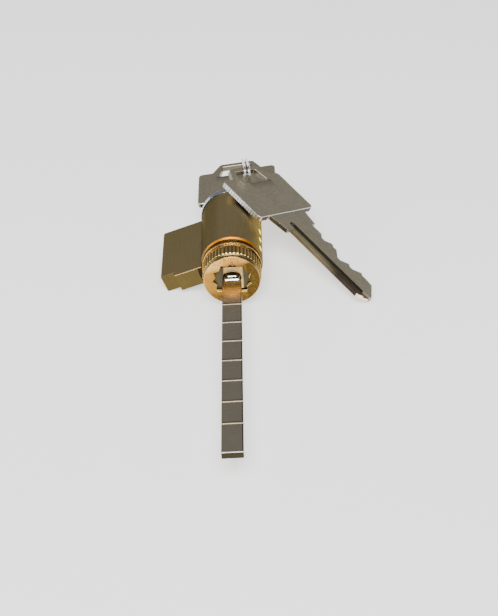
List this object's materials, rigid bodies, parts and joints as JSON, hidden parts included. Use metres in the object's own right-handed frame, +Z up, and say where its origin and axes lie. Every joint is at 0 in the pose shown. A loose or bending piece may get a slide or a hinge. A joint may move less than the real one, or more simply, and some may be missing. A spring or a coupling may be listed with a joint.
{
  "type": "sliding glass door lock",
  "caption": "Pin tumbler lock cylinder with a rectangular pin block, knurled rear cap, scored flat tail, a key in its plug and a matching key hung from it by a wire link.",
  "frame": {"origin": "on the lock axis at the rear face of the knurled cap, where the tail leaves the lock", "axes": "+Y along the lock axis toward the keys, -X toward the pin block, +Z up; the tail lies level along -Y and the block's lower edge and the hanging key's tip rest on one table"},
  "size_m": [0.0564, 0.1262, 0.0212],
  "materials": {
    "brass_body": "dull satin brass with fine tool marks",
    "brass_cover": "rolled brass strip",
    "brass_plug": "turned brass",
    "brass_pins": "turned and polished",
    "brass_cap": "bright turned and knurled, warm copper tone",
    "plated_collar": "bright plated",
    "spring_steel": "drawn wire",
    "cap_pin_steel": "ground",
    "tail_steel": "zinc plated strip, dulled",
    "nickel_silver": "stamped nickel silver, satin",
    "link_wire": "bright drawn wire"
  },
  "bodies": {
    "housing": {"shell": "brass_body", "front_collar": "plated_collar", "chamber_cover": "brass_cover", "pin_spring_1": "spring_steel", "pin_spring_2": "spring_steel", "pin_spring_3": "spring_steel", "pin_spring_4": "spring_steel", "pin_spring_5": "spring_steel"},
    "plug": {"plug": "brass_plug", "key_pin_1": "brass_pins", "key_pin_2": "brass_pins", "key_pin_3": "brass_pins", "key_pin_4": "brass_pins", "key_pin_5": "brass_pins", "rear_cap": "brass_cap", "cap_pin_spring": "spring_steel", "key_in_lock": "nickel_silver"},
    "tail": {"tail_plate": "tail_steel", "tail_blade": "tail_steel"},
    "cap_lock_pin": {"cap_pin": "cap_pin_steel"},
    "link": {"key_link": "link_wire"},
    "spare": {"spare_key": "nickel_silver"},
    "driver_1": {"driver_pin_1": "brass_pins"},
    "driver_2": {"driver_pin_2": "brass_pins"},
    "driver_3": {"driver_pin_3": "brass_pins"},
    "driver_4": {"driver_pin_4": "brass_pins"},
    "driver_5": {"driver_pin_5": "brass_pins"}
  },
  "joints": [
    {"name": "plug_turn", "type": "hinge", "parent": "housing", "child": "plug", "pos_m": [0, 0, 0], "axis": [0, 1, 0], "range_deg": [-80, 77]},
    {"name": "tail_swing", "type": "hinge", "parent": "plug", "child": "tail", "pos_m": [0, 0, 0], "axis": [0, 1, 0], "range_deg": [-22, 29]},
    {"name": "cap_pin_push", "type": "slide", "parent": "plug", "child": "cap_lock_pin", "axis": [0, 1, 0], "range_m": [0, 0.0008], "stiffness_N_per_m": 40, "springref_m": -0.002, "deforming": ["cap_pin_spring"]},
    {"name": "link_swing", "type": "hinge", "parent": "plug", "child": "link", "pos_m": [0.00396, 0.0579, 0.0004], "axis": [-0.9949, 0, -0.1011], "range_deg": [0, 45]},
    {"name": "spare_key_swing", "type": "hinge", "parent": "link", "child": "spare", "pos_m": [0.00473, 0.04097, 0.0086], "axis": [-0.6589, -0.6786, 0.3246], "range_deg": [0, 30]},
    {"name": "driver_1_lift", "type": "slide", "parent": "housing", "child": "driver_1", "axis": [-0.9489, 0, -0.3156], "range_m": [0, 0.0012], "stiffness_N_per_m": 100, "springref_m": -0.003, "deforming": ["pin_spring_1"]},
    {"name": "driver_2_lift", "type": "slide", "parent": "housing", "child": "driver_2", "axis": [-0.9489, 0, -0.3156], "range_m": [0, 0.0012], "stiffness_N_per_m": 100, "springref_m": -0.003, "deforming": ["pin_spring_2"]},
    {"name": "driver_3_lift", "type": "slide", "parent": "housing", "child": "driver_3", "axis": [-0.9489, 0, -0.3156], "range_m": [0, 0.0012], "stiffness_N_per_m": 100, "springref_m": -0.003, "deforming": ["pin_spring_3"]},
    {"name": "driver_4_lift", "type": "slide", "parent": "housing", "child": "driver_4", "axis": [-0.9489, 0, -0.3156], "range_m": [0, 0.0012], "stiffness_N_per_m": 100, "springref_m": -0.003, "deforming": ["pin_spring_4"]},
    {"name": "driver_5_lift", "type": "slide", "parent": "housing", "child": "driver_5", "axis": [-0.9489, 0, -0.3156], "range_m": [0, 0.0012], "stiffness_N_per_m": 100, "springref_m": -0.003, "deforming": ["pin_spring_5"]}
  ]
}
